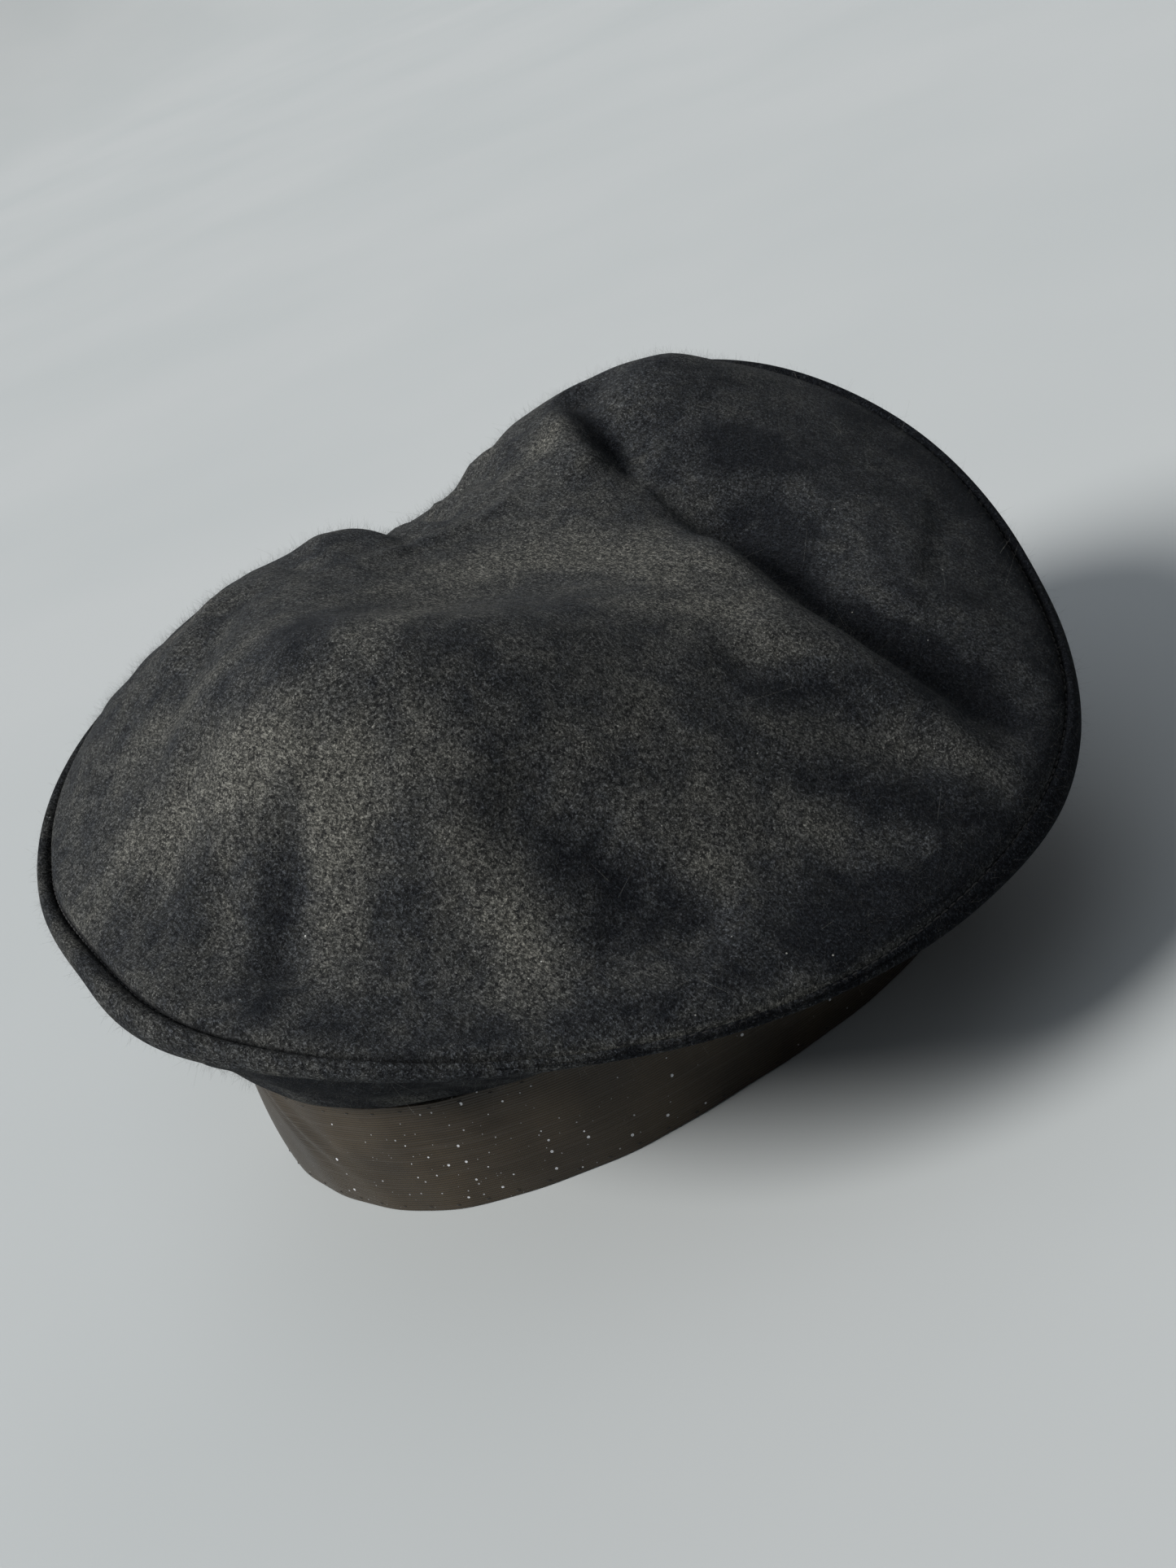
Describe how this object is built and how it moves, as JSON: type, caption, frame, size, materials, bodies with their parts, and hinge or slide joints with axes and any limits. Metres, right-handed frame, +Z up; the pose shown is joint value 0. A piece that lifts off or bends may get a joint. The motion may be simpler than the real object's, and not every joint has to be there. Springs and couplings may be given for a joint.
{
  "type": "beret",
  "caption": "Soft two-panel wool beret with a slouched round crown on a ribbon headband, lined, with an inner sweatband.",
  "frame": {"origin": "centre of the beret's bounding box, on the plane of the headband's lower edge", "axes": "+Z up through the crown, the wearer faces -Y, the wearer's left is +X"},
  "size_m": [0.2586, 0.2612, 0.1322],
  "materials": {
    "wool_melton": "brushed short nap, matte",
    "ribbon": "fine ribbed satin",
    "thread": "matte thread",
    "canvas": "matte woven",
    "lining": "satin",
    "tape": "matte twill",
    "buckram": "stiff open weave",
    "sweatband": "fine ribbed",
    "label": "satin woven, blank",
    "label_thread": "matte thread"
  },
  "bodies": {
    "root": {"crown_top_panel": "wool_melton", "crown_under_panel": "wool_melton", "top_interlining": "canvas", "lining_top": "lining", "lining_side": "lining", "rim_stay_tape": "tape", "rim_seam_thread": "thread", "headband_ribbon": "ribbon", "headband_stay": "buckram", "sweatband": "sweatband", "headband_upper_stitching": "thread", "headband_lower_stitching": "thread", "sweatband_stitching": "thread", "size_label": "label", "label_stitching": "label_thread"}
  },
  "joints": []
}
